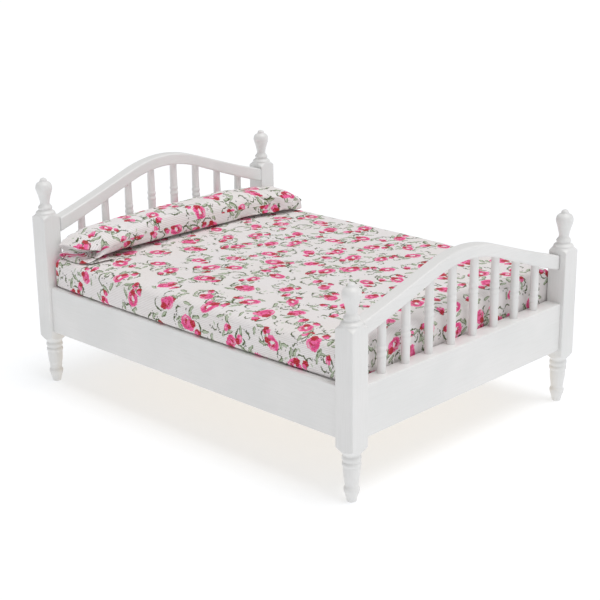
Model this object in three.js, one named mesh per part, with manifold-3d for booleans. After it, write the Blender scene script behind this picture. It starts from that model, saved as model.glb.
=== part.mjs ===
// Dolls' house double bed at 1:12: a turned low-post bedstead with a loose mattress and bolster pillow.
// Millimetres, +Z up. The origin is on the floor at the middle of the footprint, +Y points to the headboard
// and +X to the right, seen from the foot.

import * as THREE from 'three';
import { mergeVertices } from 'three/addons/utils/BufferGeometryUtils.js';
import Module from 'manifold-3d';

const wasm = await Module();
wasm.setup();

// Posts
const POST_SIZE = 8; // side of the square stock
const POST_SPACING_X = 122; // centre to centre across the bed
const POST_SPACING_Y = 166; // centre to centre along the bed
const LEG_HEIGHT = 17.9; // turned leg, floor to the start of its shoulder
const LEG_SHOULDER = 2.6; // height of the cone up to the square block's corners
const FOOT_BLOCK_TOP = 62.5; // corners of the square block on a foot post
const HEAD_BLOCK_TOP = 70.6; // corners of the square block on a head post
const FINIAL_HEIGHT = 16.3;

// Rails between the posts
const RAIL_BOTTOM = 22.9;
const RAIL_HEIGHT = 19.2;
const SIDE_RAIL_THICKNESS = 3;
const SIDE_RAIL_INSET = 1.2; // outer face behind the posts' outer faces
const END_RAIL_INSET = 1.3; // outer face behind the posts' outer faces
const ARCH_INSET = 2.6; // outer face behind the posts' outer faces
const ARCH_END_DEPTH = 5.8; // height of the arched rail where it meets a post
const ARCH_CROWN_DEPTH = 4.8; // height of the arched rail at its middle
const ARCH_CROWN_SHARE = 0.32; // rounded part of each half span; the rest is a nearly straight shoulder
const ARCH_STEPS = 36;
const BUTT_GAP = 0.2; // glue line between a rail and a post
// Spring line below the block top, rise of the soffit, and how much the right end sits above the middle
// (the left end sits as much below it; 0 is level).
const FOOT_ARCH = { drop: 5.65, rise: 15.85, askew: -1.3 };
const HEAD_ARCH = { drop: 6.5, rise: 17.25, askew: 0 };

// Spindles
const SPINDLES_PER_END = 8;
const SPINDLE_RADIUS = 1.6;
const BEAD_PROUD = 0.25; // how far a ring bead stands out from its spindle
const BEAD_PITCH = 2.3; // between neighbouring ring beads
const BEAD_DROP = 11.7; // middle of the group of beads below the arched rail
const SOCKET_DEPTH = 2;
const SOCKET_CLEARANCE = 0.15; // round a spindle end and beyond its tip
const POST_SEGMENTS = 16;
const SPINDLE_SEGMENTS = 12;

// Slat base
const CLEAT_SIZE = 3; // square section of the ledger strips
const CLEAT_SETBACK = 2; // each end of a cleat stops short of the post faces
const BASE_THICKNESS = 2;
const BASE_DROP = 5.8; // top of the base below the rails' top edges
const BASE_CLEARANCE = 0.5; // round the edge of the base
const REST_GAP = 0.3; // between a piece and what it rests on

// Soft pieces
const MATTRESS_THICKNESS = 17.9;
const MATTRESS_SIDE_CLEARANCE = 0.9; // to a side rail
const MATTRESS_END_CLEARANCE = 0.6; // to a head or foot rail
const MATTRESS_EDGE_RADIUS = 3.5;
const PILLOW_SETBACK = 0.4; // each end inside the mattress's side
const PILLOW_DEPTH = 18.6;
const PILLOW_HEIGHT = 12.4;
const PILLOW_CLEARANCE = 0.6; // to the headboard
const PILLOW_END_RADIUS = 6;

// A turned leg from the floor up: radius as a share of half the stock, and height as a share of LEG_HEIGHT.
const LEG_TURNING = [
  [0.4, 0], [0.45, 0.025], [0.575, 0.145], [0.72, 0.25], [0.6, 0.36], [0.725, 0.54],
  [0.76, 0.66], [0.755, 0.745], [0.85, 0.8], [0.775, 0.85], [0.855, 0.905], [0.8, 1],
];

// A turned finial above the block's corners: radius as a share of half the stock, and height as a share
// of FINIAL_HEIGHT.
const FINIAL_TURNING = [
  [1.12, 0.06], [0.98, 0.1], [0.85, 0.16], [0.7, 0.205], [0.68, 0.265], [0.6, 0.305], [0.485, 0.35],
  [0.5, 0.41], [0.58, 0.49], [0.68, 0.585], [0.8, 0.68], [0.85, 0.755], [0.79, 0.83], [0.66, 0.88],
  [0.4, 0.91], [0.36, 0.96], [0.2, 1],
];

// Sizes that follow from the ones above
const halfX = POST_SPACING_X / 2;
const halfY = POST_SPACING_Y / 2;
const postHalf = POST_SIZE / 2;
const blockBottom = LEG_HEIGHT + LEG_SHOULDER;
const clearAcross = POST_SPACING_X - POST_SIZE; // between facing post sides, across the bed
const clearAlong = POST_SPACING_Y - POST_SIZE; // between facing post sides, along the bed
const railTop = RAIL_BOTTOM + RAIL_HEIGHT;
const sideRailInner = halfX + postHalf - SIDE_RAIL_INSET - SIDE_RAIL_THICKNESS;
const archThickness = POST_SIZE - ARCH_INSET; // inner face flush with the posts
const archFromPostCentre = -ARCH_INSET / 2; // outward offset of the arched rail's mid-plane
const spindlePitch = clearAcross / (SPINDLES_PER_END + 1);
const baseTop = railTop - BASE_DROP;
const mattressBottom = baseTop + REST_GAP;
const mattressTop = mattressBottom + MATTRESS_THICKNESS;
const mattressWidth = 2 * (sideRailInner - MATTRESS_SIDE_CLEARANCE);
const mattressLength = clearAlong - 2 * MATTRESS_END_CLEARANCE;

const paint = new THREE.MeshStandardMaterial({ color: 0xf4f3f1, roughness: 0.38, metalness: 0 });
const board = new THREE.MeshStandardMaterial({ color: 0xd9c19a, roughness: 0.7, metalness: 0 });
const cotton = new THREE.MeshStandardMaterial({ color: 0xf3efe9, roughness: 0.95, metalness: 0 });

// A closed solid from a three.js geometry, with shared vertices merged and zero-area triangles dropped.
function solid(geometry) {
  const bare = geometry.clone();
  bare.deleteAttribute('normal');
  bare.deleteAttribute('uv');
  const merged = mergeVertices(bare, 1e-4);
  const corners = merged.index.array;
  const kept = [];
  for (let i = 0; i < corners.length; i += 3) {
    const [a, b, c] = [corners[i], corners[i + 1], corners[i + 2]];
    if (a !== b && b !== c && c !== a) kept.push(a, b, c);
  }
  return new wasm.Manifold(new wasm.Mesh({
    numProp: 3,
    vertProperties: Float32Array.from(merged.attributes.position.array),
    triVerts: Uint32Array.from(kept),
  }));
}

// The geometry of a cut or joined solid.
function geometryOf(manifold) {
  const mesh = manifold.getMesh();
  const geometry = new THREE.BufferGeometry();
  geometry.setAttribute('position', new THREE.BufferAttribute(Float32Array.from(mesh.vertProperties), 3));
  geometry.setIndex(Array.from(mesh.triVerts));
  geometry.computeVertexNormals();
  return geometry;
}

function named(name, geometry, material, x = 0, y = 0, z = 0) {
  const mesh = new THREE.Mesh(geometry, material);
  mesh.name = name;
  mesh.position.set(x, y, z);
  return mesh;
}

// A solid of revolution about Z from [radius, height] points, closed on the axis at both ends.
function turned(points, segments) {
  const first = points[0];
  const last = points[points.length - 1];
  const profile = [[0, first[1]], ...points, [0, last[1]]].map(([r, h]) => new THREE.Vector2(r, h));
  return new THREE.LatheGeometry(profile, segments).rotateX(Math.PI / 2);
}

function box(width, depth, height, zBottom) {
  return new THREE.BoxGeometry(width, depth, height).translate(0, 0, zBottom + height / 2);
}

// A post: square stock turned to a leg below and a finial above.
function postGeometry(blockTop) {
  const overCorner = postHalf * Math.SQRT2 + 0.05;
  const leg = LEG_TURNING.map(([r, h]) => [r * postHalf, h * LEG_HEIGHT]);
  const finial = FINIAL_TURNING.map(([r, h]) => [r * postHalf, blockTop + h * FINIAL_HEIGHT]);
  const outline = [...leg, [overCorner, blockBottom], [overCorner, blockTop], ...finial];
  const turning = turned(outline, POST_SEGMENTS);
  const stock = box(POST_SIZE, POST_SIZE, blockTop + FINIAL_HEIGHT, 0);
  return geometryOf(solid(turning).intersect(solid(stock)));
}

// Height of an arched edge above its ends, as a share of its rise, at a distance u from the middle (0 to 1).
function archShare(u) {
  const slope = 1 / (1 - ARCH_CROWN_SHARE / 2);
  const inCrown = u < ARCH_CROWN_SHARE;
  const straight = inCrown ? 1 - (slope * u * u) / (2 * ARCH_CROWN_SHARE) : slope * (1 - u);
  const swept = (1 + Math.cos(Math.PI * u)) / 2;
  return 0.85 * straight + 0.15 * swept;
}

// Underside of an arched rail at x.
function soffit(end, x) {
  const along = x / (clearAcross / 2);
  return end.blockTop - end.arch.drop + end.arch.rise * archShare(Math.abs(along)) + end.arch.askew * along;
}

// Top of an arched rail at x.
function archTop(end, x) {
  const share = archShare(Math.abs(x) / (clearAcross / 2));
  return soffit(end, x) + ARCH_END_DEPTH + (ARCH_CROWN_DEPTH - ARCH_END_DEPTH) * share;
}

function spindleX(i) {
  return -clearAcross / 2 + spindlePitch * (i + 1);
}

// Drills one socket for each spindle into a rail's solid, from zAt(x) along the given direction.
function drilled(rail, yOffset, zAt, direction) {
  let result = rail;
  const depth = SOCKET_DEPTH + SOCKET_CLEARANCE;
  const overshoot = SPINDLE_RADIUS;
  for (let i = 0; i < SPINDLES_PER_END; i += 1) {
    const x = spindleX(i);
    const length = depth + overshoot;
    const middle = zAt(x) + (direction * (depth - overshoot)) / 2;
    const bit = new THREE.CylinderGeometry(
      SPINDLE_RADIUS + SOCKET_CLEARANCE, SPINDLE_RADIUS + SOCKET_CLEARANCE, length, SPINDLE_SEGMENTS,
    );
    bit.rotateX(Math.PI / 2).translate(x, yOffset, middle);
    result = result.subtract(solid(bit));
  }
  return result;
}

// An arched top rail in its own frame: x across, y outward from the post centres, z up from the floor.
function archGeometry(end) {
  const half = clearAcross / 2 - BUTT_GAP;
  const at = (i) => -half + (2 * half * i) / ARCH_STEPS;
  const steps = Array.from({ length: ARCH_STEPS + 1 }, (_, i) => at(i));
  const outline = [
    ...steps.map((x) => new THREE.Vector2(x, soffit(end, x))),
    ...steps.reverse().map((x) => new THREE.Vector2(x, archTop(end, x))),
  ];
  const shape = new THREE.Shape(outline);
  const slab = new THREE.ExtrudeGeometry(shape, { depth: archThickness, bevelEnabled: false });
  slab.rotateX(Math.PI / 2).translate(0, archThickness / 2 + end.outward * archFromPostCentre, 0);
  const y = end.outward * archFromPostCentre;
  return geometryOf(drilled(solid(slab), y, (x) => soffit(end, x), 1));
}

// The flat board across one end, drilled along its top edge for the spindles.
function lowerRailGeometry(end) {
  const thickness = POST_SIZE - END_RAIL_INSET;
  const slab = box(clearAcross - 2 * BUTT_GAP, thickness, RAIL_HEIGHT, RAIL_BOTTOM);
  slab.translate(0, (-end.outward * END_RAIL_INSET) / 2, 0);
  return geometryOf(drilled(solid(slab), end.outward * archFromPostCentre, () => railTop, -1));
}

// A spindle from its socket in the lower rail to its socket in the arched rail, with a group of ring beads.
function spindleGeometry(end, x) {
  const bottom = railTop - SOCKET_DEPTH;
  const top = soffit(end, x) + SOCKET_DEPTH;
  const points = [[SPINDLE_RADIUS, bottom]];
  const beads = soffit(end, x) - BEAD_DROP;
  for (const offset of [-BEAD_PITCH / 2, BEAD_PITCH / 2]) {
    const middle = beads + offset;
    points.push([SPINDLE_RADIUS, middle - BEAD_PITCH / 2], [SPINDLE_RADIUS + BEAD_PROUD, middle]);
  }
  points.push([SPINDLE_RADIUS, beads + BEAD_PITCH], [SPINDLE_RADIUS, top]);
  return turned(points, SPINDLE_SEGMENTS);
}

function boardEnd(end) {
  const group = new THREE.Group();
  group.position.y = end.outward * halfY;
  for (const [side, sign] of [['left', -1], ['right', 1]]) {
    group.add(named(`post_${end.name}_${side}`, postGeometry(end.blockTop), paint, sign * halfX));
  }
  group.add(named(`${end.name}_lower_rail`, lowerRailGeometry(end), paint));
  group.add(named(`${end.name}_arch_rail`, archGeometry(end), paint));
  for (let i = 0; i < SPINDLES_PER_END; i += 1) {
    const x = spindleX(i);
    const y = end.outward * archFromPostCentre;
    group.add(named(`${end.name}_spindle_${i + 1}`, spindleGeometry(end, x), paint, x, y));
  }
  return group;
}

function sideRail(side, sign) {
  const geometry = box(SIDE_RAIL_THICKNESS, clearAlong - 2 * BUTT_GAP, RAIL_HEIGHT, RAIL_BOTTOM);
  const x = sign * (sideRailInner + SIDE_RAIL_THICKNESS / 2);
  return named(`side_rail_${side}`, geometry, paint, x);
}

function cleat(side, sign) {
  const top = baseTop - BASE_THICKNESS - REST_GAP;
  const geometry = box(CLEAT_SIZE, clearAlong - 2 * CLEAT_SETBACK, CLEAT_SIZE, top - CLEAT_SIZE);
  return named(`cleat_${side}`, geometry, board, sign * (sideRailInner - BUTT_GAP - CLEAT_SIZE / 2));
}

function bedBase() {
  const width = 2 * (sideRailInner - BASE_CLEARANCE);
  const length = clearAlong - 2 * BASE_CLEARANCE;
  return named('bed_base', box(width, length, BASE_THICKNESS, baseTop - BASE_THICKNESS), board);
}

// A rectangle with round corners, centred on the origin.
function roundedRectangle(width, height, radius) {
  const [w, h] = [width / 2, height / 2];
  const shape = new THREE.Shape();
  shape.moveTo(-w + radius, -h);
  shape.lineTo(w - radius, -h).absarc(w - radius, -h + radius, radius, -Math.PI / 2, 0);
  shape.lineTo(w, h - radius).absarc(w - radius, h - radius, radius, 0, Math.PI / 2);
  shape.lineTo(-w + radius, h).absarc(-w + radius, h - radius, radius, Math.PI / 2, Math.PI);
  shape.lineTo(-w, -h + radius).absarc(-w + radius, -h + radius, radius, Math.PI, 1.5 * Math.PI);
  return shape;
}

// The mattress: a block with round corners in plan and a soft upper edge.
function mattress() {
  const radius = MATTRESS_EDGE_RADIUS;
  const plan = roundedRectangle(mattressWidth - 2 * radius, mattressLength - 2 * radius, radius / 2);
  const geometry = new THREE.ExtrudeGeometry(plan, {
    depth: MATTRESS_THICKNESS - 2 * radius, bevelThickness: radius, bevelSize: radius, bevelSegments: 3,
    curveSegments: 3,
  });
  return named('mattress', geometry, cotton, 0, 0, mattressBottom + radius);
}

// The bolster pillow: an oval roll laid across the mattress against the headboard.
function pillow() {
  const radius = PILLOW_END_RADIUS;
  const length = mattressWidth - 2 * PILLOW_SETBACK;
  const oval = new THREE.Shape();
  oval.absellipse(0, 0, PILLOW_DEPTH / 2 - radius / 2, PILLOW_HEIGHT / 2 - radius / 2, 0, 2 * Math.PI);
  const geometry = new THREE.ExtrudeGeometry(oval, {
    depth: length - 2 * radius, bevelThickness: radius, bevelSize: radius / 2, bevelSegments: 3,
    curveSegments: 10,
  });
  geometry.translate(0, 0, -(length / 2 - radius)).rotateX(Math.PI / 2).rotateZ(Math.PI / 2);
  const y = halfY - postHalf - PILLOW_CLEARANCE - PILLOW_DEPTH / 2;
  return named('pillow', geometry, cotton, 0, y, mattressTop + REST_GAP + PILLOW_HEIGHT / 2);
}

const HEAD = { name: 'head', outward: 1, blockTop: HEAD_BLOCK_TOP, arch: HEAD_ARCH };
const FOOT = { name: 'foot', outward: -1, blockTop: FOOT_BLOCK_TOP, arch: FOOT_ARCH };

const bed = new THREE.Group();
bed.add(boardEnd(HEAD), boardEnd(FOOT));
for (const [side, sign] of [['left', -1], ['right', 1]]) {
  bed.add(sideRail(side, sign), cleat(side, sign));
}
bed.add(bedBase(), mattress(), pillow());

export default bed;
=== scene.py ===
"""Looks for the dolls' house bed: painted turned woodwork, a bare wood base, and a mattress and pillow in
printed ribbed cotton. Lengths are in millimetres until a mesh is made."""

import math

import bmesh
import bpy
import numpy as np
from mathutils import Matrix, Vector


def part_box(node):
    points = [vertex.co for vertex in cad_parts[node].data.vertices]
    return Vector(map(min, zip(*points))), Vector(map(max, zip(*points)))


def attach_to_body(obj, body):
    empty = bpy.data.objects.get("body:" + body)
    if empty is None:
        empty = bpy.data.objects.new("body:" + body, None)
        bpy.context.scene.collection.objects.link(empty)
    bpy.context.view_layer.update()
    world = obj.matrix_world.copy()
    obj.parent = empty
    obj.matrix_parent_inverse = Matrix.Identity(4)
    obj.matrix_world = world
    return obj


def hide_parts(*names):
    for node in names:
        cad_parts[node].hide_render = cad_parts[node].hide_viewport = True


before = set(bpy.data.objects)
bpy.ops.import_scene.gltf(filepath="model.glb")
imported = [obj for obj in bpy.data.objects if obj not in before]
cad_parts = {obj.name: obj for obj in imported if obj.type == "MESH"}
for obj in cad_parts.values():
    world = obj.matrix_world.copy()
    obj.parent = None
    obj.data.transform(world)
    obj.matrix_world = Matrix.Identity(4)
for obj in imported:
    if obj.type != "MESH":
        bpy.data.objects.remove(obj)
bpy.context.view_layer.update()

MM = 0.001


def box_mm(node):
    """Lowest and highest corner of a CAD node, in millimetres."""
    lo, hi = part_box(node)
    return np.array(lo) / MM, np.array(hi) / MM


# ---------------------------------------------------------------- shader helpers


class Graph:
    """Short calls for building a node tree."""

    def __init__(self, tree):
        self.tree = tree

    def node(self, kind, inputs=(), **settings):
        made = self.tree.nodes.new(kind)
        for key, value in settings.items():
            setattr(made, key, value)
        for key, value in dict(inputs).items():
            self.put(made.inputs[key], value)
        return made

    def put(self, socket, value):
        if isinstance(value, bpy.types.NodeSocket):
            self.tree.links.new(value, socket)
        else:
            socket.default_value = value

    def math(self, operation, a, b=0.0, c=0.0):
        made = self.node("ShaderNodeMath", {0: a, 1: b, 2: c}, operation=operation)
        return made.outputs[0]

    def vector(self, operation, a, b=(0, 0, 0)):
        made = self.node("ShaderNodeVectorMath", {0: a, 1: b}, operation=operation)
        return made.outputs["Value" if operation == "LENGTH" else "Vector"]

    def scaled(self, vector, factor):
        made = self.node("ShaderNodeVectorMath", {0: vector, "Scale": factor}, operation="SCALE")
        return made.outputs["Vector"]

    def ramp(self, value, low, high, out_low=0.0, out_high=1.0, smooth=True):
        kind = "SMOOTHSTEP" if smooth else "LINEAR"
        inputs = {"Value": value, "From Min": low, "From Max": high, "To Min": out_low, "To Max": out_high}
        return self.node("ShaderNodeMapRange", inputs, interpolation_type=kind).outputs["Result"]

    def mix(self, share, a, b, blend="MIX"):
        made = self.node("ShaderNodeMix", data_type="RGBA", blend_type=blend)
        for socket, value in (("Factor_Float", share), ("A_Color", a), ("B_Color", b)):
            self.put(next(s for s in made.inputs if s.identifier == socket), value)
        return next(s for s in made.outputs if s.identifier == "Result_Color")

    def noise(self, vector, scale, detail=2.0, roughness=0.5, output="Fac"):
        inputs = {"Vector": vector, "Scale": scale, "Detail": detail, "Roughness": roughness}
        return self.node("ShaderNodeTexNoise", inputs).outputs[output]

    def mapped(self, vector, location=(0, 0, 0), angle=0.0, scale=(1, 1, 1), kind="TEXTURE"):
        inputs = {"Vector": vector, "Location": location, "Rotation": (0, 0, angle), "Scale": scale}
        return self.node("ShaderNodeMapping", inputs, vector_type=kind).outputs[0]

    def bump(self, height, distance, strength):
        made = self.node("ShaderNodeBump", {"Height": height, "Distance": distance, "Strength": strength})
        return made.outputs[0]


def srgb(text):
    """Linear colour from a hex string."""
    parts = [int(text[i : i + 2], 16) / 255 for i in (0, 2, 4)]
    return (*[c / 12.92 if c <= 0.04045 else ((c + 0.055) / 1.055) ** 2.4 for c in parts], 1.0)


def new_material(name, **constants):
    """A material with a Principled shader whose plain numbers sit on its own sockets."""
    made = bpy.data.materials.new(name)
    made.use_nodes = True
    tree = made.node_tree
    shader = tree.nodes["Principled BSDF"]
    for key, value in constants.items():
        shader.inputs[key.replace("_", " ")].default_value = value
    return made, Graph(tree), shader


# ---------------------------------------------------------------- materials


def painted_wood(name, along):
    """Satin white paint over fine grain that runs along one axis (0, 1 or 2)."""
    made, g, shader = new_material(name, Specular_IOR_Level=0.45, Coat_Weight=0.12, Coat_Roughness=0.22)
    place = g.node("ShaderNodeTexCoord").outputs["Object"]
    stretch = [1.0, 1.0, 1.0]
    stretch[along] = 0.045
    grain = g.noise(g.vector("MULTIPLY", place, stretch), 1900.0, 4.0, 0.6)
    pores = g.ramp(g.noise(g.vector("MULTIPLY", place, stretch), 4200.0, 2.0), 0.62, 0.74)
    brush = g.noise(g.vector("MULTIPLY", place, [0.35 + 0.65 * s for s in stretch]), 700.0, 3.0)
    cloud = g.noise(place, 42.0, 3.0)
    tint = g.mix(g.ramp(cloud, 0.3, 0.7), srgb("EBEBEA"), srgb("F1F0EF"))
    tint = g.mix(g.math("MULTIPLY", g.ramp(grain, 0.35, 0.75), 0.16), tint, srgb("DBD9D5"))
    pointy = g.node("ShaderNodeNewGeometry").outputs["Pointiness"]
    # painted shade: the concave hollows of a piece, such as the grooves of its turnings, are darkened
    painted_hollow_shade = g.ramp(pointy, 0.5, 0.44)
    tint = g.mix(g.math("MULTIPLY", painted_hollow_shade, 0.35), tint, srgb("C9C3BD"))
    # painted highlight: the convex, paint-rounded edges are lightened
    edge = g.ramp(pointy, 0.53, 0.6)
    tint = g.mix(g.math("MULTIPLY", edge, 0.4), tint, srgb("F8F7F6"))
    g.put(shader.inputs["Base Color"], tint)
    g.put(shader.inputs["Roughness"], g.ramp(brush, 0.3, 0.7, 0.34, 0.47))
    height = g.math("MULTIPLY_ADD", grain, 0.6, g.math("MULTIPLY", brush, 0.5))
    height = g.math("MULTIPLY_ADD", pores, -0.35, height)
    height = g.math("MULTIPLY_ADD", cloud, 1.6, height)
    g.put(shader.inputs["Normal"], g.bump(height, 0.00005, 0.55))
    return made


def bare_wood(name, along):
    """Sanded softwood with long growth lines, fine fibres and a few pores."""
    made, g, shader = new_material(name, Specular_IOR_Level=0.3)
    place = g.node("ShaderNodeTexCoord").outputs["Object"]
    stretch = [1.0, 1.0, 1.0]
    stretch[along] = 0.06
    long_way = g.vector("MULTIPLY", place, stretch)
    warp = g.noise(long_way, 60.0, 2.0, output="Color")
    bent = g.vector("ADD", long_way, g.scaled(g.vector("SUBTRACT", warp, (0.5, 0.5, 0.5)), 0.012))
    rings = g.noise(bent, 260.0, 2.0, 0.4)
    fibre = g.noise(long_way, 3200.0, 4.0, 0.65)
    tint = g.mix(g.ramp(rings, 0.38, 0.66), srgb("E9DCC6"), srgb("D3BC98"))
    tint = g.mix(g.math("MULTIPLY", g.ramp(fibre, 0.4, 0.75), 0.4), tint, srgb("BDA27C"))
    g.put(shader.inputs["Base Color"], tint)
    g.put(shader.inputs["Roughness"], g.ramp(fibre, 0.3, 0.7, 0.62, 0.82))
    height = g.math("ADD", fibre, g.math("MULTIPLY", rings, 0.5))
    g.put(shader.inputs["Normal"], g.bump(height, 0.00012, 0.6))
    return made


PINK = srgb("FF6CAC")
DEEP_PINK = srgb("EE3C86")
PALE_PINK = srgb("F6C5D5")
CRIMSON = srgb("BC001A")
STEM = srgb("42561E")
LEAF_EDGE = srgb("52682E")
LEAF_FILL = srgb("C0CCB4")
INK_DARK = srgb("434A3A")


class Motif:
    """A spray drawn in the frame of the nearest scattered point. Marks are laid over a colour in turn."""

    def __init__(self, g, cloth, cell, seed, jitter, grow=(0.85, 1.1)):
        self.g = g
        spot = g.node(
            "ShaderNodeTexVoronoi",
            {"Vector": g.scaled(g.vector("ADD", cloth, seed), 1 / cell), "Scale": 1.0, "Randomness": jitter},
            voronoi_dimensions="2D",
        )
        away = g.vector("SUBTRACT", g.vector("MULTIPLY", g.vector("ADD", cloth, seed), (1, 1, 0)),
                        g.scaled(spot.outputs["Position"], cell))
        self.random = g.node("ShaderNodeSeparateColor", {0: spot.outputs["Color"]}).outputs
        turn = g.math("MULTIPLY", self.random[0], 2 * math.pi)
        turned = g.node("ShaderNodeVectorRotate", {"Vector": away, "Angle": turn}, rotation_type="Z_AXIS")
        size = g.ramp(self.random[1], 0.0, 1.0, 1 / grow[0], 1 / grow[1], smooth=False)
        self.here = g.scaled(turned.outputs[0], size)

    def oval(self, x, y, rx, ry, degrees=0.0, soft=0.12):
        """A mask that is 1 inside an oval, given in millimetres."""
        g = self.g
        local = g.mapped(self.here, (x, y, 0), math.radians(degrees), (rx, ry, 1))
        blur = soft / min(rx, ry)
        return g.ramp(g.vector("LENGTH", local), 1 + blur, 1 - blur)

    def crescent(self, x, y, r, width, degrees, share=0.8):
        """A tapering curved stroke: a disc with a shifted disc taken out of it."""
        angle = math.radians(degrees)
        whole = self.oval(x, y, r, r, soft=0.1)
        shift = width + (1 - share) * r
        inner = r * share + (1 - share) * r * 0.6
        hole = self.oval(x + shift * math.cos(angle), y + shift * math.sin(angle), inner, inner, soft=0.1)
        return self.g.math("MULTIPLY", whole, self.g.math("SUBTRACT", 1.0, hole))

    def lay(self, colour, mask, ink, share=1.0):
        if share != 1.0:
            mask = self.g.math("MULTIPLY", mask, share)
        return self.g.mix(mask, colour, ink)

    def leaf(self, colour, x, y, length, width, degrees):
        colour = self.lay(colour, self.oval(x, y, length, width, degrees), LEAF_EDGE)
        shift = width * 0.18
        angle = math.radians(degrees + 90)
        fx, fy = x + shift * math.cos(angle), y + shift * math.sin(angle)
        return self.lay(colour, self.oval(fx, fy, length * 0.8, width * 0.62, degrees), LEAF_FILL)


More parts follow.
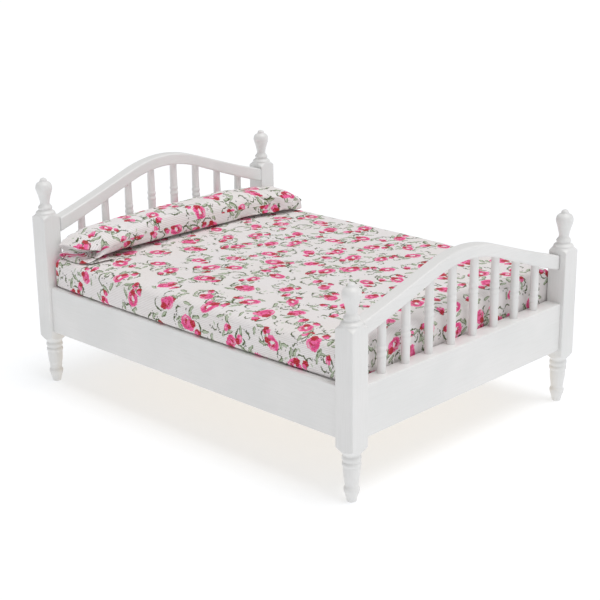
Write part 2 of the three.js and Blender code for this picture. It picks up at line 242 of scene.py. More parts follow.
def printed_cotton(name):
    """Off-white ribbed cotton with a scattered print of roses, buds, leaves and stems.
    The cloth map is the flat cloth in millimetres, with the ribs along its second axis."""
    made, g, shader = new_material(
        name, Roughness=0.92, Specular_IOR_Level=0.25, Sheen_Weight=0.18, Sheen_Roughness=0.45
    )
    flat = g.node("ShaderNodeUVMap", uv_map="cloth").outputs[0]
    flat = g.scaled(flat, 1 / MM)
    wobble = g.noise(flat, 0.85, 3.0, 0.65, output="Color")
    cloth = g.vector("ADD", flat, g.scaled(g.vector("SUBTRACT", wobble, (0.5, 0.5, 0.5)), 2.1))
    print_angle = 0.62  # between the print and the weave
    turned = g.node("ShaderNodeVectorRotate", {"Vector": cloth, "Angle": print_angle}, rotation_type="Z_AXIS")
    cloth = turned.outputs[0]
    split = g.node("ShaderNodeSeparateXYZ", {0: flat}).outputs
    rib = g.math("SINE", g.math("MULTIPLY", split[0], 2 * math.pi / 0.7))
    thread = g.math("SINE", g.math("MULTIPLY", split[1], 2 * math.pi / 0.4))
    slub = g.noise(g.vector("MULTIPLY", flat, (1, 0.12, 1)), 2.2, 3.0)
    blotch = g.noise(flat, 0.05, 2.0)

    ground = g.mix(g.ramp(blotch, 0.3, 0.7), srgb("FAF6F7"), srgb("F8F3F1"))
    # painted shade: the ground is darkened in the grooves between the ribs, and this shaded ground shows
    # wherever it is used below
    ground = g.mix(g.ramp(rib, 0.1, -1.0, 0.0, 0.5), ground, srgb("CFC7C3"))
    ground = g.mix(g.ramp(slub, 0.45, 0.75, 0.0, 0.3), ground, srgb("FFFDFC"))
    colour = ground
    mottle = g.noise(g.vector("ADD", flat, (9, 4, 0)), 1.15, 2.0, 0.6)
    petal = g.mix(g.ramp(mottle, 0.52, 0.6), PINK, DEEP_PINK)
    petal = g.mix(g.ramp(mottle, 0.36, 0.31), petal, PALE_PINK)
    dark_petal = g.mix(g.ramp(mottle, 0.57, 0.65), CRIMSON, DEEP_PINK)

    # small hooks and dots between the sprays
    fill = Motif(g, cloth, 7.6, (31, 17, 0), 0.75)
    some = g.math("GREATER_THAN", fill.random[2], 0.35)
    colour = fill.lay(colour, g.math("MULTIPLY", fill.crescent(0.1, 0.3, 1.3, 0.45, 200, 0.86), some), STEM)
    colour = fill.lay(colour, g.math("MULTIPLY", fill.oval(-1.4, -1.0, 0.95, 0.36, 40), some), LEAF_FILL)
    for x, y, r in ((1.7, -0.7, 0.26), (1.2, -1.9, 0.22), (-1.5, 1.9, 0.24)):
        colour = fill.lay(colour, g.math("MULTIPLY", fill.oval(x, y, r * 1.4, r, 50), some), INK_DARK)

    # a small bloom on a curved stem with outlined leaves
    sprig = Motif(g, cloth, 13.2, (3, 71, 0), 0.5, (0.85, 1.15))
    colour = sprig.lay(colour, sprig.crescent(0.4, 0.6, 3.8, 0.42, 300, 0.96), STEM)
    colour = sprig.lay(colour, sprig.crescent(2.6, -0.4, 1.5, 0.4, 150, 0.88), STEM)
    leaves = ((-3.3, -1.5, 2.1, 0.76, 75), (-0.6, -3.9, 2.0, 0.7, 350), (2.2, 2.7, 1.8, 0.62, 30))
    for x, y, length, width, degrees in leaves:
        colour = sprig.leaf(colour, x, y, length, width, degrees)
    for x, y in ((3.9, 0.6), (3.7, 1.6), (-1.0, -1.6)):
        colour = sprig.lay(colour, sprig.oval(x, y, 0.4, 0.24, 70), INK_DARK)
    shown = g.math("GREATER_THAN", sprig.random[2], 0.15)
    colour = sprig.lay(colour, g.math("MULTIPLY", sprig.oval(-1.0, 1.9, 1.75, 1.35, 20), shown), petal)
    colour = sprig.lay(colour, g.math("MULTIPLY", sprig.oval(-2.3, 2.3, 1.15, 1.2, 60), shown), dark_petal)
    colour = sprig.lay(colour, g.math("MULTIPLY", sprig.oval(-0.4, 1.7, 0.6, 0.22, 30), shown), PALE_PINK)

    # the large open rose with a bud beside it
    rose = Motif(g, cloth, 14.6, (57, 5, 0), 0.42, (0.8, 1.12))
    colour = rose.leaf(colour, -2.4, -3.9, 2.0, 0.72, 25)
    colour = rose.leaf(colour, 4.4, 2.9, 1.9, 0.68, 330)
    colour = rose.lay(colour, rose.crescent(-3.2, 0.4, 3.0, 0.42, 20, 0.94), STEM)
    bud = g.math("GREATER_THAN", rose.random[0], 0.25)
    colour = rose.lay(colour, g.math("MULTIPLY", rose.oval(-4.3, 1.5, 1.6, 1.25, 30), bud), dark_petal)
    colour = rose.lay(colour, g.math("MULTIPLY", rose.oval(-3.6, 2.2, 1.2, 0.9, 80), bud), petal)
    colour = rose.lay(colour, rose.oval(1.2, 0.1, 3.3, 2.75, 15), petal)
    colour = rose.lay(colour, rose.oval(-0.9, 1.2, 1.5, 1.25, 40), petal)
    colour = rose.lay(colour, rose.oval(-1.3, -0.8, 1.6, 1.45, 20), dark_petal)
    colour = rose.lay(colour, rose.crescent(1.4, 0.2, 2.35, 0.5, 250, 0.85), DEEP_PINK)
    ring = g.math("GREATER_THAN", rose.random[2], 0.35)
    colour = rose.lay(colour, g.math("MULTIPLY", rose.oval(1.1, 0.35, 1.5, 0.62, 35), ring), ground)
    colour = rose.lay(colour, rose.crescent(0.9, 0.0, 1.6, 0.36, 150, 0.86), CRIMSON)
    colour = rose.lay(colour, rose.crescent(2.3, -0.9, 1.1, 0.26, 100, 0.85), PALE_PINK)
    for x, y in ((2.6, 1.1), (2.9, 0.2), (0.4, 1.6), (1.9, -1.5)):
        colour = rose.lay(colour, rose.oval(x, y, 0.2, 0.2), INK_DARK, 0.8)

    # ink sits on the ribs and thins in the grooves
    worn = g.math("MULTIPLY", g.ramp(thread, -1.0, 1.0), g.ramp(rib, -1.0, 0.4, 0.2, 0.0))
    colour = g.mix(worn, colour, ground)
    g.put(shader.inputs["Base Color"], colour)
    height = g.math("MULTIPLY_ADD", thread, 0.25, g.math("MULTIPLY", rib, 0.7))
    height = g.math("MULTIPLY_ADD", slub, 0.6, height)
    g.put(shader.inputs["Normal"], g.bump(height, 0.00006, 0.8))
    return made


paint = [painted_wood(f"white_paint_{axis}", i) for i, axis in enumerate("xyz")]
wood_along_y = bare_wood("bare_softwood", 1)
cotton = printed_cotton("rose_print_cotton")


# ---------------------------------------------------------------- mesh helpers


def piece(name, points, faces, material, body, stands_for):
    """A mesh piece from points in millimetres, with its material, tied to its body and CAD nodes."""
    mesh = bpy.data.meshes.new(name)
    mesh.from_pydata([tuple(p) for p in np.asarray(points, float) * MM], [], [tuple(f) for f in faces])
    mesh.validate()
    mesh.polygons.foreach_set("use_smooth", [True] * len(mesh.polygons))
    made = bpy.data.objects.new(name, mesh)
    bpy.context.scene.collection.objects.link(made)
    made.data.materials.append(material)
    attach(made, body, stands_for)
    return made


def attach(made, body, stands_for=()):
    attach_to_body(made, body)
    if stands_for:
        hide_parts(*stands_for)


def grid_faces(rows, columns):
    """Quads of rows of points that close on themselves, with a fan of one face at each end."""
    faces = []
    for i in range(rows - 1):
        for j in range(columns):
            k = (j + 1) % columns
            faces.append((i * columns + j, i * columns + k, (i + 1) * columns + k, (i + 1) * columns + j))
    faces.append(tuple(range(columns - 1, -1, -1)))
    faces.append(tuple((rows - 1) * columns + j for j in range(columns)))
    return faces


def smooth_curve(points, heights):
    """Radius at each height: a curve through [height, radius] points that never overshoots them."""
    z, r = np.array(points, float).T
    h = np.diff(z)
    slope = np.diff(r) / h
    tangent = np.zeros(len(z))
    tangent[0], tangent[-1] = slope[0], slope[-1]
    for i in range(1, len(z) - 1):
        if slope[i - 1] * slope[i] > 0:
            tangent[i] = 2 * slope[i - 1] * slope[i] / (slope[i - 1] + slope[i])
    k = np.clip(np.searchsorted(z, heights, side="right") - 1, 0, len(h) - 1)
    t = np.clip((heights - z[k]) / h[k], 0, 1)
    a = (2 * t**3 - 3 * t**2 + 1) * r[k] + (t**3 - 2 * t**2 + t) * h[k] * tangent[k]
    b = (3 * t**2 - 2 * t**3) * r[k + 1] + (t**3 - t**2) * h[k] * tangent[k + 1]
    return a + b


def beads(heights, rings):
    """How far half-round ring beads stand out: rings are (height, how proud, half width)."""
    out = np.zeros(len(heights))
    for z, proud, half in rings:
        out = np.maximum(out, proud * np.sqrt(np.clip(1 - ((heights - z) / half) ** 2, 0, 1)))
    return out


def soft_min(a, b, k):
    h = np.clip(0.5 + 0.5 * (b - a) / k, 0, 1)
    return b * (1 - h) + a * h - k * h * (1 - h)


def rounded_square(half, corner, per_side=14, per_corner=6):
    """Angles and distances from the centre of a square with round corners."""
    points = []
    for quarter in range(4):
        turn = quarter * math.pi / 2
        flat = np.linspace(-(half - corner), half - corner, per_side, endpoint=False)
        arc = np.linspace(0, math.pi / 2, per_corner, endpoint=False)
        side = [(half, y) for y in flat]
        side += [(half - corner + corner * math.cos(a), half - corner + corner * math.sin(a)) for a in arc]
        c, s = math.cos(turn), math.sin(turn)
        points += [(c * x - s * y, s * x + c * y) for x, y in side]
    x, y = np.array(points).T
    return np.arctan2(y, x), np.hypot(x, y)


# ---------------------------------------------------------------- woodwork

POST_CORNER = 0.38  # paint-rounded corner of a post
BEYOND_CORNER = 6.1  # a turning radius that clears the post's corners
ARRIS_SOFTNESS = 0.22  # of the curved edge where a turning meets the square block
EDGE = 0.4  # paint-rounded edge of a board
GLUE_LINE = 0.2
SINK = 0.12  # how far a board's end goes into its post, which closes the glue line

LEG_HEIGHT = 17.9
LEG_SHOULDER = 2.6
LEG = (
    (0, 1.4), (0.2, 1.68), (1.5, 1.96), (2.6, 2.28), (3.7, 2.64), (4.6, 2.84), (5.1, 2.83), (5.6, 2.6),
    (6.2, 2.42), (7.6, 2.56), (9.6, 2.86), (11.7, 3.0), (13.2, 3.06), (15.4, 3.1), (17.5, 3.14), (18.0, 3.24),
    (20.5, 5.75),
)
LEG_BEADS = ((14.25, 0.3, 0.75), (16.5, 0.28, 0.8))
FINIAL_HEIGHT = 16.3
FINIAL = (
    (0, 5.75), (0.5, 5.2), (0.95, 4.5), (1.6, 3.95), (2.4, 3.4), (3.0, 2.8), (3.6, 2.62), (4.5, 2.66),
    (4.95, 2.36), (5.4, 2.04), (5.8, 1.93), (6.6, 2.0), (7.9, 2.3), (9.5, 2.7), (10.9, 3.15), (12.2, 3.38),
    (13.2, 3.22), (14.0, 2.8), (14.5, 2.1), (14.8, 1.6), (15.2, 1.46), (15.7, 1.3), (16.1, 0.75), (16.3, 0.2),
)
FINIAL_BEADS = ((2.3, 0.28, 0.5), (4.0, 0.24, 0.45))
BEAD_DROP = 11.7  # from the arched rail's underside to the middle of a spindle's beading


def turned(node, centre, heights, angles, rings):
    """A closed piece from rings of distances from an upright axis, one ring for each height."""
    x = centre[0] + rings * np.cos(angles)
    y = centre[1] + rings * np.sin(angles)
    z = np.repeat(heights[:, None], len(angles), axis=1)
    points = np.stack([x, y, z], axis=-1).reshape(-1, 3)
    faces = grid_faces(len(heights), len(angles))
    return piece(f"{node}_turned", points, faces, paint[2], "bedstead", [node])


def post(node):
    lo, hi = box_mm(node)
    centre = (lo + hi) / 2
    half = (hi[0] - lo[0]) / 2
    block_bottom = LEG_HEIGHT + LEG_SHOULDER
    block_top = hi[2] - FINIAL_HEIGHT
    leg = np.concatenate([np.linspace(0, 0.3, 4)[:-1], np.linspace(0.3, block_bottom + 0.2, 84)])
    block = np.linspace(block_bottom + 0.4, block_top - 0.4, 8)
    finial = np.linspace(block_top - 0.2, hi[2] - 0.5, 84)
    tip = np.linspace(hi[2] - 0.4, hi[2], 5)
    heights = np.concatenate([leg, block, finial, tip])
    radius = np.full(len(heights), half * 2.0)
    low, high = heights < block_bottom + 0.3, heights > block_top - 0.3
    leg_profile = LEG + ((block_bottom + 0.3, BEYOND_CORNER),)
    radius[low] = smooth_curve(leg_profile, heights[low]) + beads(heights[low], LEG_BEADS)
    above = heights[high] - block_top
    finial_profile = ((-0.3, BEYOND_CORNER),) + FINIAL
    radius[high] = smooth_curve(finial_profile, above) + beads(above, FINIAL_BEADS)
    angles, reach = rounded_square(half, POST_CORNER)
    rings = soft_min(radius[:, None], reach[None, :], ARRIS_SOFTNESS)
    return turned(node, centre, heights, angles, rings)


def board(node, along, sink, name=None, material=None, edge=EDGE):
    """A board with softened edges, its ends sunk a little into what it meets."""
    lo, hi = box_mm(node)
    lo, hi = lo.copy(), hi.copy()
    lo[along] -= sink
    hi[along] += sink
    made = bmesh.new()
    bmesh.ops.create_cube(made, size=1.0)
    for v in made.verts:
        v.co = Vector([(lo[i] if v.co[i] < 0 else hi[i]) * MM for i in range(3)])
    bmesh.ops.bevel(made, geom=made.edges[:], offset=edge * MM, segments=4, profile=0.5, affect="EDGES")
    name = name or f"{node}_board"
    mesh = bpy.data.meshes.new(name)
    made.to_mesh(mesh)
    made.free()
    mesh.polygons.foreach_set("use_smooth", [True] * len(mesh.polygons))
    result = bpy.data.objects.new(name, mesh)
    bpy.context.scene.collection.objects.link(result)
    mesh.materials.append(material or paint[along])
    weight = result.modifiers.new("flat_faces", "WEIGHTED_NORMAL")
    weight.keep_sharp = False
    attach(result, "bedstead", [node])
    return result


def arch_edges(node):
    """x, underside and top of an arched rail, from the corners of its CAD outer face."""
    lo, _ = box_mm(node)
    co = np.array([v.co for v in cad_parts[node].data.vertices]) / MM
    face = co[np.abs(co[:, 1] - lo[1]) < 0.01]
    xs = np.unique(np.round(face[:, 0], 2))
    rows = []
    for x in xs:
        z = face[np.abs(face[:, 0] - x) < 0.02][:, 2]
        if z.max() - z.min() > 1:
            rows.append((x, z.min(), z.max()))
    return np.array(rows)


def arch(node):
    lo, hi = box_mm(node)
    rows = arch_edges(node)
    x = np.linspace(lo[0], hi[0], 121)
    under = smooth_curve(rows[:, [0, 1]], x)
    over = smooth_curve(rows[:, [0, 2]], x)
    x[0] -= GLUE_LINE + SINK
    x[-1] += GLUE_LINE + SINK
    round_over, steps = 0.75, 5
    y0, y1 = lo[1], hi[1]
    points = []
    for i in range(len(x)):
        corners = (
            (y1 - round_over, over[i] - round_over, 0), (y0 + round_over, over[i] - round_over, 90),
            (y0 + round_over, under[i] + round_over, 180), (y1 - round_over, under[i] + round_over, 270),
        )
        for cy, cz, start in corners:
            for k in range(steps):
                a = math.radians(start + 90 * k / (steps - 1))
                points.append((x[i], cy + round_over * math.cos(a), cz + round_over * math.sin(a)))
    faces = grid_faces(len(x), 4 * steps)
    made = piece(f"{node}_bent", points, faces, paint[0], "bedstead", [node])
    weight = made.modifiers.new("flat_faces", "WEIGHTED_NORMAL")
    weight.keep_sharp = False
    return made


def spindle(node, rail_top, end_rows):
    lo, hi = box_mm(node)
    centre = (lo + hi) / 2
    soffit = float(np.interp(centre[0], end_rows[:, 0], end_rows[:, 1]))
    heights = np.linspace(lo[2], hi[2], 120)
    beading = soffit - BEAD_DROP
    profile = (
        (lo[2], 1.5), (rail_top, 1.52), (rail_top + 1.5, 1.54),
        (rail_top + 0.45 * (beading - rail_top), 1.58),
        (beading - 2.6, 1.68), (beading + 2.6, 1.64), (soffit - 3.5, 1.56), (soffit, 1.5), (hi[2], 1.48),
    )
    radius = smooth_curve(profile, heights)
    radius += beads(heights, ((beading - 1.15, 0.17, 0.7), (beading + 1.15, 0.17, 0.7)))
    radius -= beads(heights, ((beading, 0.08, 0.4), (beading - 2.2, 0.06, 0.35), (beading + 2.2, 0.06, 0.35)))
    angles = np.linspace(0, 2 * math.pi, 36, endpoint=False)
    return turned(node, centre, heights, angles, radius[:, None])


for end in ("head", "foot"):
    for side in ("left", "right"):
        post(f"post_{end}_{side}")
    rows = arch_edges(f"{end}_arch_rail")
    arch(f"{end}_arch_rail")
    board(f"{end}_lower_rail", 0, GLUE_LINE + SINK)
    rail_top = box_mm(f"{end}_lower_rail")[1][2]
    for number in range(1, 9):
        spindle(f"{end}_spindle_{number}", rail_top, rows)
for side in ("left", "right"):
    board(f"side_rail_{side}", 1, GLUE_LINE + SINK)
    board(f"cleat_{side}", 1, 0.0, f"cleat_{side}_strip", wood_along_y, 0.15)
board("bed_base", 1, 0.0, "bed_base_ply", wood_along_y, 0.15)


# ---------------------------------------------------------------- cloth

SIM_SCALE = 10.0 / 1000.0  # millimetres to the metres that cloth is simulated in
SIM_FRAMES = 22


def simulate(points, faces, pinned, pressure, slack, cap, stiffness):
    """Blows a closed cover out against its own slack. Each point moves at most cap. Returns the points."""
    mesh = bpy.data.meshes.new("trial")
    mesh.from_pydata([tuple(p) for p in points * SIM_SCALE], [], [tuple(f) for f in faces])
    trial = bpy.data.objects.new("trial", mesh)
    bpy.context.scene.collection.objects.link(trial)
    group = trial.vertex_groups.new(name="held")
    for level in np.unique(np.round(pinned, 2)):
        if level > 0:
            group.add([int(i) for i in np.flatnonzero(np.round(pinned, 2) == level)], float(level), "REPLACE")
    cloth = trial.modifiers.new("cover", "CLOTH")
    settings = cloth.settings
    settings.quality = 6
    settings.mass = 0.25
    settings.tension_stiffness = 25
    settings.compression_stiffness = 25
    settings.shear_stiffness = 10
    settings.bending_stiffness = stiffness
    settings.use_pressure = True
    settings.uniform_pressure_force = pressure
    settings.shrink_min = -slack
    settings.vertex_group_mass = "held"
    settings.pin_stiffness = 1.0
    settings.effector_weights.gravity = 0.0
    settings.air_damping = 2.0
    cloth.collision_settings.use_collision = False
    cloth.collision_settings.use_self_collision = False
    cloth.point_cache.frame_start = 1
    cloth.point_cache.frame_end = SIM_FRAMES
    scene = bpy.context.scene
    for number in range(1, SIM_FRAMES + 1):
        scene.frame_set(number)
    moved_mesh = trial.evaluated_get(bpy.context.evaluated_depsgraph_get()).to_mesh()
    moved = np.zeros(len(points) * 3)
    moved_mesh.vertices.foreach_get("co", moved)
    moved = moved.reshape(-1, 3) / SIM_SCALE
    scene.frame_set(1)
    bpy.data.objects.remove(trial)
    shift = moved - points
    length = np.linalg.norm(shift, axis=1, keepdims=True)
    shift *= np.minimum(1.0, cap / np.maximum(length, 1e-9))
    return points + shift


def cloth_map(made, corner_uv):
    """The flat cloth, in metres, as a map for each face corner."""
    layer = made.data.uv_layers.new(name="cloth")
    layer.data.foreach_set("uv", (np.asarray(corner_uv) * MM).ravel())


# how far the mattress swells over a side rail, along its length from the foot to the head
OVERHANG = (
    (-79, 0.2), (-75, 0.7), (-68, 1.0), (-58, 1.8), (-42, 2.4), (-25, 3.0), (0, 3.2), (40, 3.2), (58, 3.0),
    (70, 2.5), (76, 2.1), (79, 1.9),
)
LIP = 0.22  # daylight between the overhang and the rail it lies on
SEAM_ROW = 4  # the cover's row of points at the height of the rails' top edges
MATTRESS_EXTRA = (0.3, 0.2, 0.0)  # how much fuller than the CAD block the cover is, on each side
MATTRESS_RADIUS, MATTRESS_STEP = 2.7, 1.55
CORNER_POWER = 6  # squareness of the upright corners: 2 is round
TOP_CROWN = 0.4


def box_grid(counts):
    """A box's surface as a grid: whole-number points, quads, and the axis and the side each quad faces."""
    index, points, faces, sides = {}, [], [], []

    def corner(key):
        if key not in index:
            index[key] = len(points)
            points.append(key)
        return index[key]

    for axis in range(3):
        u, v = (axis + 1) % 3, (axis + 2) % 3
        for sign in (0, 1):
            turn = ((0, 0), (1, 0), (1, 1), (0, 1)) if sign else ((0, 0), (0, 1), (1, 1), (1, 0))
            for a in range(counts[u]):
                for b in range(counts[v]):
                    ring = []
                    for da, db in turn:
                        at = [0, 0, 0]
                        at[axis], at[u], at[v] = sign * counts[axis], a + da, b + db
                        ring.append(corner(tuple(at)))
                    faces.append(ring)
                    sides.append((axis, 1 if sign else -1))
    return np.array(points), faces, sides


def rounded_block(flat, half, radius):
    """Rounds the upright edges and the top edge of a block whose points are measured from its middle."""
    inner = np.clip(flat, -(half - radius), half - radius)
    out = flat - inner
    plan = (np.abs(out[:, 0]) ** CORNER_POWER + np.abs(out[:, 1]) ** CORNER_POWER) ** (1 / CORNER_POWER)
    rise = np.where(flat[:, 2] > 0, out[:, 2], 0)
    length = np.sqrt(plan**2 + rise**2)
    grown = np.where(length > 1e-9, radius / np.maximum(length, 1e-9), 1)
    shaped = inner + out * grown[:, None]
    shaped[:, 2] = np.where(flat[:, 2] > 0, shaped[:, 2], flat[:, 2])
    return shaped


def pucker(shaped, centre, half, top):
    """Puckers the cover where it is gathered: strongly down the ends, lightly down the sides."""
    rng = np.random.default_rng(11)
    low = np.clip((top - shaped[:, 2]) / 13, 0, 1)
    for axis, other, gap, strong in ((1, 0, (6, 13), 0.8), (0, 1, (12, 26), 0.12)):
        for sign in (-1, 1):
            face = np.clip((sign * (shaped[:, axis] - centre[axis]) - (half[axis] - 3)) / 2, 0, 1)
            at = -half[other] + 5
            while at < half[other] - 4:
                near_end = math.exp(-(((half[other] - abs(at)) / 10) ** 2))
                width = rng.uniform(0.7, 1.6)
                depth = strong * (rng.uniform(0.3, 1.0) + 0.35 * near_end)
                line = shaped[:, other] - centre[other] - at - rng.uniform(-0.2, 0.2) * (shaped[:, 2] - 46)
                shaped[:, axis] -= sign * depth * face * low**0.6 * np.exp(-((line / width) ** 2))
                at += rng.uniform(*gap)


def folded_out(point, half, axis, sign):
    """Where a point of the block lies on its flat cloth when the sides are folded out."""
    x, y, z = point
    drop = half[2] - z
    if axis == 0:
        return sign * (half[0] + drop), y
    if axis == 1:
        return x, sign * (half[1] + drop)
    return x, y


def finish_cover(made, corner_uv):
    """The cloth map and one level of smoothing."""
    cloth_map(made, corner_uv)
    smoother = made.modifiers.new("smooth", "SUBSURF")
    smoother.levels = smoother.render_levels = 1


def mattress():
    """A padded cover that puffs out a little, swells over the side rails and puckers at the ends."""
    lo, hi = box_mm("mattress")
    centre, half = (lo + hi) / 2, (hi - lo) / 2
    half = half + MATTRESS_EXTRA
    rail_top = box_mm("side_rail_left")[1][2]
    seam = rail_top + LIP
    above_seam = [seam + d for d in (0, 0.12, 0.7, 2.2, 4.2, 6.2, 8.2)]
    levels = [lo[2], lo[2] + 1.8, lo[2] + 3.6, rail_top - 0.5, *above_seam, hi[2] - 2.6, hi[2] - 1.5, hi[2]]
    levels = np.array(levels)
    counts = [int(round(2 * h / MATTRESS_STEP)) for h in half[:2]] + [len(levels) - 1]
    grid, faces, sides = box_grid(counts)
    row = grid[:, 2]
    across, along = 2 * grid[:, 0] / counts[0] - 1, 2 * grid[:, 1] / counts[1] - 1
    flat = np.stack([across * half[0], along * half[1], levels[row] - centre[2]], axis=1)
    shaped = rounded_block(flat, half, MATTRESS_RADIUS)
    on_top = row == counts[2]
    shaped[:, 2] += TOP_CROWN * np.clip((1 - across**4) * (1 - along**4), 0, 1) * on_top
    # the far side of the top lies lower, most of all under the pillow
    sag = 0.35 * np.clip(along * 2 + 2, 0, 1) + 0.45 * np.clip(along * 1.5, 0, 1)
    shaped[:, 2] -= sag * np.clip((across - 0.5) / 0.5, 0, 1) * on_top

    depth_in = np.minimum(half[0] - np.abs(flat[:, 0]), half[1] - np.abs(flat[:, 1]))
    held = np.where(levels[row] < seam + 0.3, 1.0, 0.0)
    held[on_top] = np.clip((depth_in[on_top] - 5) / 18, 0, 0.8)
    slightly_small = shaped * [0.997, 0.998, 0.99]
    shaped = simulate(slightly_small, faces, held, pressure=3.0, slack=0.03, cap=0.6, stiffness=6.0)

    shaped += centre
    # above the rails the sides swell outwards and lie on the rails' top edges
    reach = smooth_curve(OVERHANG, shaped[:, 1])
    over = np.clip((levels[row] - seam - 0.06) / 0.06, 0, 1)
    over *= np.clip((levels[row] - seam + 0.5) / 1.2, 0.72, 1)
    edge = np.clip((np.abs(shaped[:, 0]) - half[0] + 14) / 14, 0, 1) ** 2
    shaped[:, 0] += np.sign(shaped[:, 0]) * reach * over * edge
    pucker(shaped, centre, half, hi[2])

    # the cover stays between the rails and the ends, and over the base
    room = np.where(levels[row] < seam + 0.06, hi[0] + 0.5, hi[0] + 4.2)
    shaped[:, 0] = np.clip(shaped[:, 0], -room, room)
    shaped[:, 1] = np.clip(shaped[:, 1], lo[1] - 0.35, hi[1] + 0.35)
    above = row > SEAM_ROW
    shaped[above, 2] = np.clip(shaped[above, 2], seam, hi[2] + 0.7)
    shaped[~above, 2] = np.clip(shaped[~above, 2], lo[2], seam)

    made = piece("mattress_cover", shaped, faces, cotton, "mattress", ["mattress"])
    corner_uv = [folded_out(flat[n], half, *side) for ring, side in zip(faces, sides) for n in ring]
    finish_cover(made, corner_uv)


# the pillow's highest line and its front, along its length as shares of the way from left to right:
# the highest line is measured from the CAD block's top, and the front from the block's front
PILLOW_TOP = (
    (0, -5.2), (0.03, -3.6), (0.07, -2.3), (0.14, -1.1), (0.34, -0.4), (0.58, -0.5), (0.71, -0.9),
    (0.83, -1.7), (0.94, -3.0), (1, -5.2),
)
PILLOW_FRONT = (
    (0, -3.0), (0.08, -2.2), (0.2, -0.6), (0.5, 1.0), (0.72, 0.4), (0.85, -1.6), (0.93, -3.4), (1, -4.2),
)
PILLOW_LOWEST = 0.14  # above the mattress
PILLOW_AROUND, PILLOW_ALONG = 72, 126  # points round a ring, and rings
PILLOW_BACK_LIMIT = 78.85  # clear of the headboard's lower rail
HEM = 0.35  # thickness of a folded edge of cloth
TURNED_IN = ((0.1, 0.5), (0.6, 1.0), (1.3, 3.2), (2.0, 7.0))  # depth in and hems inwards, from the rim


def flap(rows, thickness):
    """A closed strip of cloth from a grid of points (rows, columns, 3), thickened downwards."""
    count, columns = rows.shape[:2]
    top = rows.reshape(-1, 3)
    points = np.concatenate([top, top - [0, 0, thickness]])
    faces, n = [], count * columns
    for i in range(count - 1):
        for j in range(columns - 1):
            a, b = i * columns + j, (i + 1) * columns + j
            faces.append((a, a + 1, b + 1, b))
            faces.append((n + a, n + b, n + b + 1, n + a + 1))
    for i in range(count - 1):
        for j, flip in ((0, False), (columns - 1, True)):
            a, b = i * columns + j, (i + 1) * columns + j
            quad = (a, b, n + b, n + a)
            faces.append(quad[::-1] if flip else quad)
    for j in range(columns - 1):
        for i, flip in ((0, True), (count - 1, False)):
            a, b = i * columns + j, i * columns + j + 1
            quad = (a, b, n + b, n + a)
            faces.append(quad[::-1] if flip else quad)
    return points, faces


def signed_power(v, n):
    return np.sign(v) * np.abs(v) ** n


def pillow_rings(rest):
    """The pillow's rings of points from left to right, and the lowest height of each ring. A ring starts
    at the front and goes up, over the back and round underneath."""
    lo, hi = box_mm("pillow")
    x0, x1 = lo[0] - 1.0, hi[0] + 0.3
    share = np.linspace(0, 1, PILLOW_ALONG)
    top = hi[2] - 0.1 + smooth_curve(PILLOW_TOP, share)
    front = lo[1] + smooth_curve(PILLOW_FRONT, share)
    back_y = hi[1] + 0.1
    phi = np.linspace(0, 2 * math.pi, PILLOW_AROUND, endpoint=False)
    turn = np.minimum(phi, 2 * math.pi - phi)
    left = np.clip(1 - share * (x1 - x0) / 12, 0, 1) ** 1.5
    right = np.clip(1 - (1 - share) * (x1 - x0) / 11, 0, 1) ** 1.6
    # towards the right the front lies flatter on the mattress, so its lower corner is squarer
    squarer = np.clip((share - 0.15) / 0.35, 0, 1)
    under = phi > 1.5 * math.pi
    lowest = rest - 0.5 * np.clip((share - 0.75) / 0.25, 0, 1)

    rings = np.zeros((PILLOW_ALONG, PILLOW_AROUND, 3))
    for i in range(PILLOW_ALONG):
        height, depth = top[i] - lowest[i], back_y - front[i]
        bend = np.where(under, 0.87 - 0.44 * squarer[i], 0.87)
        y = (front[i] + back_y) / 2 - depth / 2 * signed_power(np.cos(phi), bend)
        z = (top[i] + lowest[i]) / 2 + height / 2 * signed_power(np.sin(phi), bend)
        # the end folds: the sides are tucked in between the upper and the lower layer
        front_tuck = np.exp(-((turn / 0.36) ** 2))
        back_tuck = np.exp(-((np.abs(phi - math.pi) / 0.36) ** 2))
        y += (5.5 * left[i] + 1.2 * right[i]) * front_tuck - (5.5 * left[i] + 3.0 * right[i]) * back_tuck
        z = lowest[i] + (z - lowest[i]) * (1 - 0.12 * left[i] - 0.16 * right[i])
        # the left end is cut on a slant: its front is folded further in than its top
        from_front = np.minimum(np.abs(phi - 0.15), 2 * math.pi - np.abs(phi - 0.15))
        slant = left[i] * 8.5 * np.exp(-((from_front / 0.75) ** 2))
        low_front = np.exp(-(((phi - 5.9) / 0.5) ** 2)) + np.exp(-(((phi + 0.38) / 0.5) ** 2))
        x = x0 + share[i] * (x1 - x0) + slant - 0.4 * left[i] * low_front
        rings[i] = np.stack([x, y, z], axis=-1)
    return rings, lowest


def turn_in_ends(shaped, tube):
    """Closes a tube of rings at both ends with cloth that turns in: a rim, an inner wall and a deep cap."""
    layers = [shaped]
    for end, sign in ((0, 1), (-1, -1)):
        ring = shaped[end]
        towards = (ring.mean(axis=0) - ring) * [0, 1, 1]
        towards /= np.maximum(np.linalg.norm(towards, axis=1, keepdims=True), 1e-6)
        walls = [ring + towards * HEM * k + [sign * depth, 0, 0] for depth, k in TURNED_IN]
        layers.append(np.array(walls))
    points = np.concatenate([part.reshape(-1, 3) for part in layers])

    along, around = shaped.shape[:2]
    faces, next_row = list(tube), along * around
    for is_left, end in ((True, 0), (False, along - 1)):
        previous = end * around
        for _ in TURNED_IN:
            for j in range(around):
                k = (j + 1) % around
                quad = (previous + j, previous + k, next_row + k, next_row + j)
                faces.append(quad[::-1] if is_left else quad)
            previous = next_row
            next_row += around
        cap = tuple(previous + j for j in range(around))
        faces.append(cap[::-1] if is_left else cap)
    return points, faces


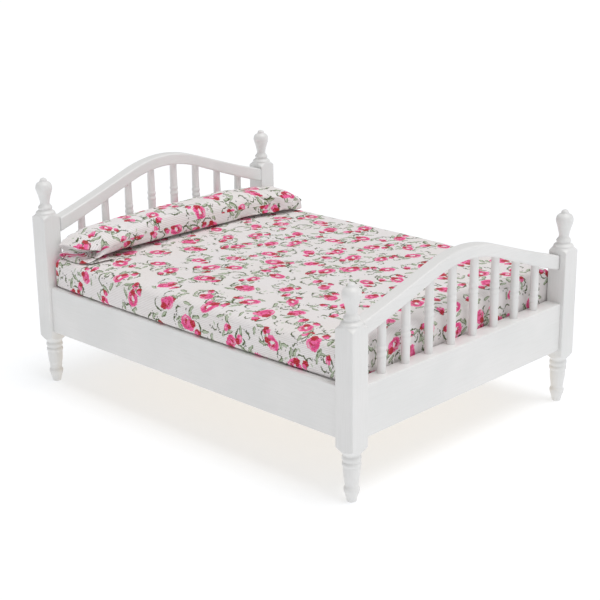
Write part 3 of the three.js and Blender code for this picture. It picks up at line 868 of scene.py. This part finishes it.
def loose_layers(rough, rest):
    """Loose layers of the parcel fold at the left end: a tongue inside, and one that lies on the mattress."""
    s = np.linspace(0, 1, 14)[:, None]
    t = np.linspace(0, 1, rough.shape[1])[None, :]
    for x_in, x_out, y_front, y_back, z_in, z_out, wave, slope in (
        (-48.0, -58.2, 59.5, 75.5, 61.0, 59.2, 0.5, 3.0),
        (-47.0, -60.2, 56.8, 77.0, 55.6, 55.35, 0.22, 1.2),
    ):
        x = x_in + (x_out - x_in) * s * (1 - 0.12 * slope * (1 - t) ** 2) + rough * s**4
        y = y_front + (y_back - y_front) * t + 1.6 * s * (1 - t)
        z = z_in + (z_out - z_in) * s + wave * np.sin(7 * t + 2.5 * s) * s + 0 * t
        yield flap(np.stack([x, y, np.maximum(z, rest + HEM)], axis=-1), HEM * 0.8)


def pillow():
    """A long padded bolster folded like a parcel, with two loose layers of cloth at its left end."""
    rest = box_mm("mattress")[1][2] + PILLOW_LOWEST
    shaped, lowest = pillow_rings(rest)
    along, around = shaped.shape[:2]
    middle = shaped[along // 2]
    girth = np.zeros(around + 1)
    girth[1:] = np.cumsum(np.linalg.norm(np.roll(middle, -1, axis=0) - middle, axis=1))
    closed = grid_faces(along, around)
    held = np.zeros((along, around))
    held[:2] = held[-2:] = 1
    start = shaped.reshape(-1, 3)
    shaped = simulate(start, closed, held.ravel(), pressure=2.0, slack=0.035, cap=0.8, stiffness=2.0)
    shaped = shaped.reshape(along, around, 3)
    rng = np.random.default_rng(5)
    for end, sign in ((0, -1), (-1, 1)):
        shaped[end, :, 0] += sign * rng.uniform(-0.3, 0.3, around)
    shaped[:, :, 1] = np.minimum(shaped[:, :, 1], PILLOW_BACK_LIMIT)
    shaped[:, :, 2] = np.maximum(shaped[:, :, 2], lowest[:, None])
    points, faces = turn_in_ends(shaped, closed[:-2])

    # the flat cloth runs round the pillow, well away from the part of the print that the mattress shows
    corner_uv = []
    for face in faces:
        js = [n % around for n in face]
        wraps = max(js) - min(js) > around // 2 and len(face) == 4
        for n, j in zip(face, js):
            corner_uv.append((200 + girth[around if wraps and j == 0 else j], points[n][0] + 300))
    rough = rng.uniform(-0.35, 0.35, (1, 26))
    for more, more_faces in loose_layers(rough, rest):
        base = len(points)
        points = np.concatenate([points, more])
        for face in more_faces:
            face = tuple(n + base for n in face)
            faces.append(face)
            corner_uv += [(230 + points[n][1], points[n][0] + 300) for n in face]

    made = piece("pillow_cover", points, faces, cotton, "pillow", ["pillow"])
    finish_cover(made, corner_uv)


mattress()
pillow()


# ---------------------------------------------------------------- floor, light and camera


def floor():
    mesh = bpy.data.meshes.new("floor")
    reach = 14.0
    corners = [(-reach, -reach, 0), (reach, -reach, 0), (reach, reach, 0), (-reach, reach, 0)]
    mesh.from_pydata(corners, [], [(0, 1, 2, 3)])
    made = bpy.data.objects.new("floor", mesh)
    bpy.context.scene.collection.objects.link(made)
    made.location.z = -0.0001
    look, g, shader = new_material("pale_floor", Roughness=0.9, Specular_IOR_Level=0.1)
    shader.inputs["Base Color"].default_value = (0.52, 0.535, 0.555, 1)
    shader.inputs["Emission Color"].default_value = (1, 1, 1, 1)
    shader.inputs["Emission Strength"].default_value = 0.57
    mesh.materials.append(look)


def sun(name, azimuth, elevation, strength, spread):
    """A soft light from a direction: azimuth 0 is from the foot, 90 from the right."""
    lamp = bpy.data.lights.new(name, "SUN")
    lamp.energy = strength
    lamp.angle = math.radians(spread)
    made = bpy.data.objects.new(name, lamp)
    a, e = math.radians(azimuth), math.radians(elevation)
    towards = Vector((math.sin(a) * math.cos(e), -math.cos(a) * math.cos(e), math.sin(e)))
    made.rotation_mode = "QUATERNION"
    made.rotation_quaternion = towards.to_track_quat("Z", "Y")
    bpy.context.scene.collection.objects.link(made)


floor()
sun("key", 20, 72, 1.48, 38)
world = bpy.data.worlds.new("studio")
world.use_nodes = True
world.node_tree.nodes["Background"].inputs["Color"].default_value = (1, 1, 1, 1)
world.node_tree.nodes["Background"].inputs["Strength"].default_value = 0.452
bpy.context.scene.world = world
bpy.context.scene.view_settings.view_transform = "Standard"

CAMERA_PLACE = (-0.39205, -0.38169, 0.22267)
CAMERA_AZIMUTH, CAMERA_ELEVATION, CAMERA_ROLL = (math.radians(d) for d in (-45.774, 18.583, -0.7046))
FOCAL_PX, FRAME_PX, SENSOR = 1439.65, 600, 36.0
camera = bpy.data.cameras.new("camera")
camera.sensor_width = SENSOR
camera.lens = FOCAL_PX / FRAME_PX * SENSOR
viewer = bpy.data.objects.new("camera", camera)
bpy.context.scene.collection.objects.link(viewer)
ca, sa = math.cos(CAMERA_AZIMUTH), math.sin(CAMERA_AZIMUTH)
ce, se = math.cos(CAMERA_ELEVATION), math.sin(CAMERA_ELEVATION)
back = Vector((sa * ce, -ca * ce, se))
right = Vector((ca, sa, 0))
up = back.cross(right)
c, s = math.cos(CAMERA_ROLL), math.sin(CAMERA_ROLL)
axes = Matrix((c * right + s * up, -s * right + c * up, back)).transposed().to_4x4()
viewer.matrix_world = Matrix.Translation(CAMERA_PLACE) @ axes
camera.clip_start, camera.clip_end = 0.01, 100
bpy.context.scene.camera = viewer
